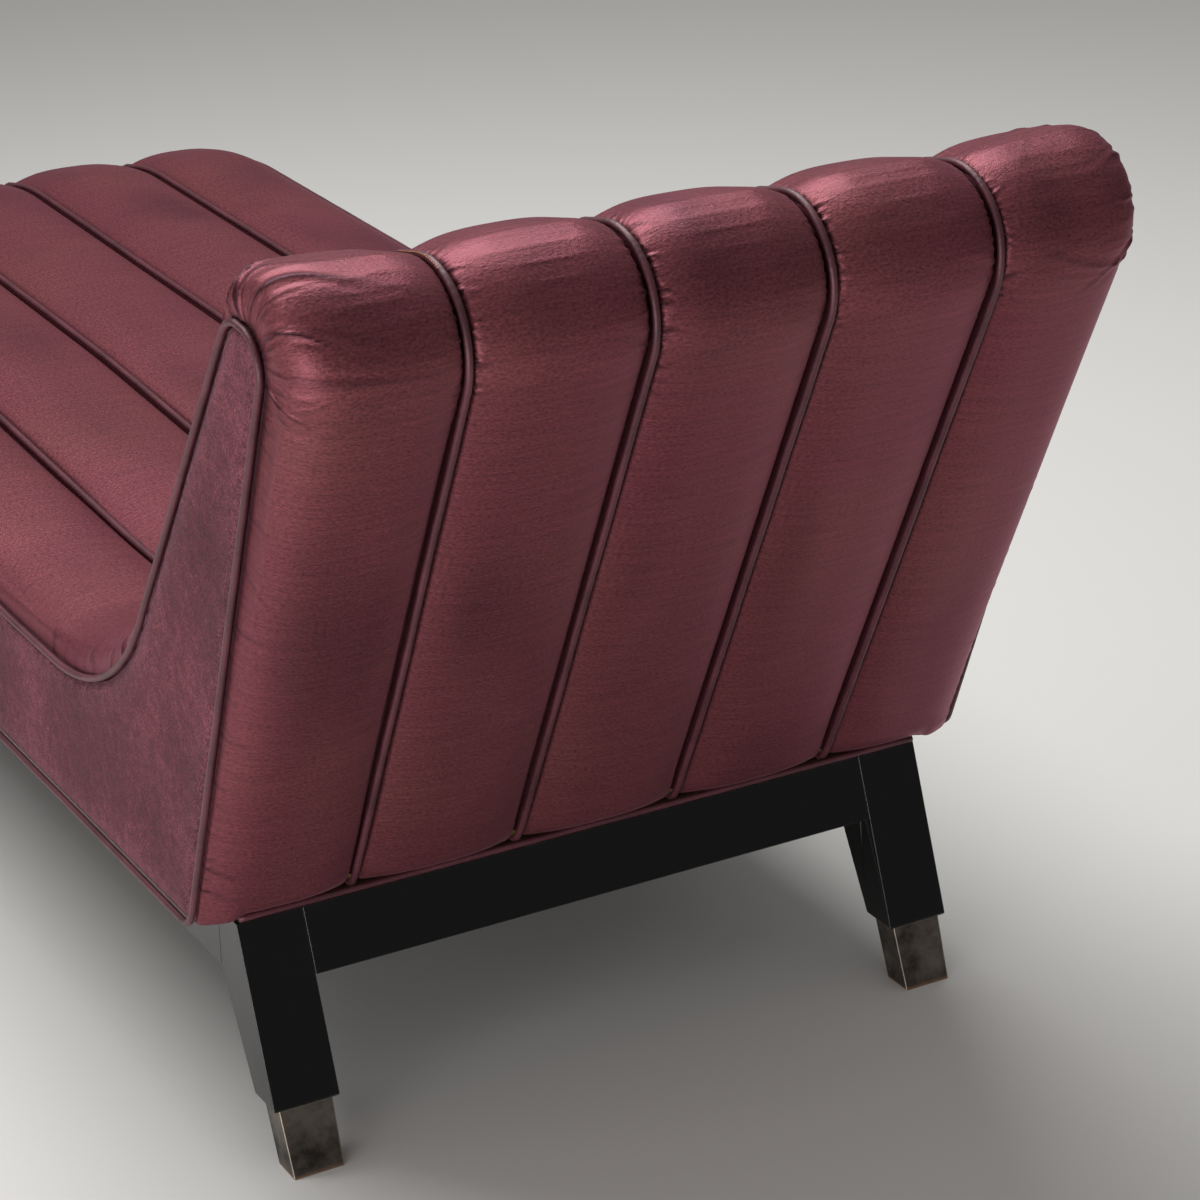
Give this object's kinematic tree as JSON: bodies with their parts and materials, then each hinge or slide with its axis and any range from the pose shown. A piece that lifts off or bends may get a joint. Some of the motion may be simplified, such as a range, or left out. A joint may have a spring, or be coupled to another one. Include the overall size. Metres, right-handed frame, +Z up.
{
  "type": "chaise longue",
  "caption": "Long upholstered lounge seat with lengthwise padded channels that run up and over a raked back, on a black lacquered base with raked legs and metal sabots.",
  "frame": {"origin": "on the floor under the middle of the whole piece", "axes": "+X to the left as seen from behind the back, +Y from the foot end to the back, +Z up"},
  "size_m": [0.72, 1.8054, 0.7828],
  "materials": {
    "lacquer": "gloss black lacquer over beech, worn thin at the edges",
    "sabot_metal": "patinated plate over brass, brighter at the edges",
    "channel_cloth": "smooth plum satin with a fine crosswise slub and a pink sheen",
    "side_cloth": "flat plum velvet with a mottled pile",
    "welt_cloth": "plum satin piping",
    "beech": "planed, unfinished",
    "plywood": "sanded, unfinished",
    "fibreboard": "hard pressed board",
    "foam": "latex foam",
    "webbing": "rubberised elastic webbing",
    "zinc": "zinc plated",
    "dust_cloth": "black cambric"
  },
  "bodies": {
    "root": {"leg_rear_left": "lacquer", "leg_rear_right": "lacquer", "leg_front_left": "lacquer", "leg_front_right": "lacquer", "sabot_rear_left": "sabot_metal", "sabot_rear_right": "sabot_metal", "sabot_front_left": "sabot_metal", "sabot_front_right": "sabot_metal", "apron_rear": "lacquer", "apron_front": "lacquer", "side_rail_left": "lacquer", "side_rail_right": "lacquer", "cross_rail_rear": "beech", "cross_rail_front": "beech", "corner_blocks": "beech", "base_dowels": "beech", "block_screws": "zinc", "body_bolts": "zinc", "sabot_screws": "zinc", "side_frame_left": "plywood", "side_frame_right": "plywood", "bottom_rail_rear": "beech", "bottom_rail_front": "beech", "bottom_rail_mid_rear": "beech", "bottom_rail_mid_front": "beech", "crook_rail": "beech", "top_rail": "beech", "foot_rail": "beech", "back_board": "fibreboard", "foot_board": "fibreboard", "frame_screws": "zinc", "seat_webbing": "webbing", "back_webbing": "webbing", "webbing_tacks": "zinc", "seat_foam": "foam", "back_foam": "foam", "shoulder_roll": "foam", "channel_1": "channel_cloth", "channel_2": "channel_cloth", "channel_3": "channel_cloth", "channel_4": "channel_cloth", "channel_5": "channel_cloth", "welt_1": "welt_cloth", "welt_2": "welt_cloth", "welt_3": "welt_cloth", "welt_4": "welt_cloth", "side_welt_left": "welt_cloth", "side_welt_right": "welt_cloth", "bottom_welt_rear": "welt_cloth", "bottom_welt_front": "welt_cloth", "side_panel_left": "side_cloth", "side_panel_right": "side_cloth", "dust_cover": "dust_cloth", "cover_tacks": "zinc"}
  },
  "joints": []
}
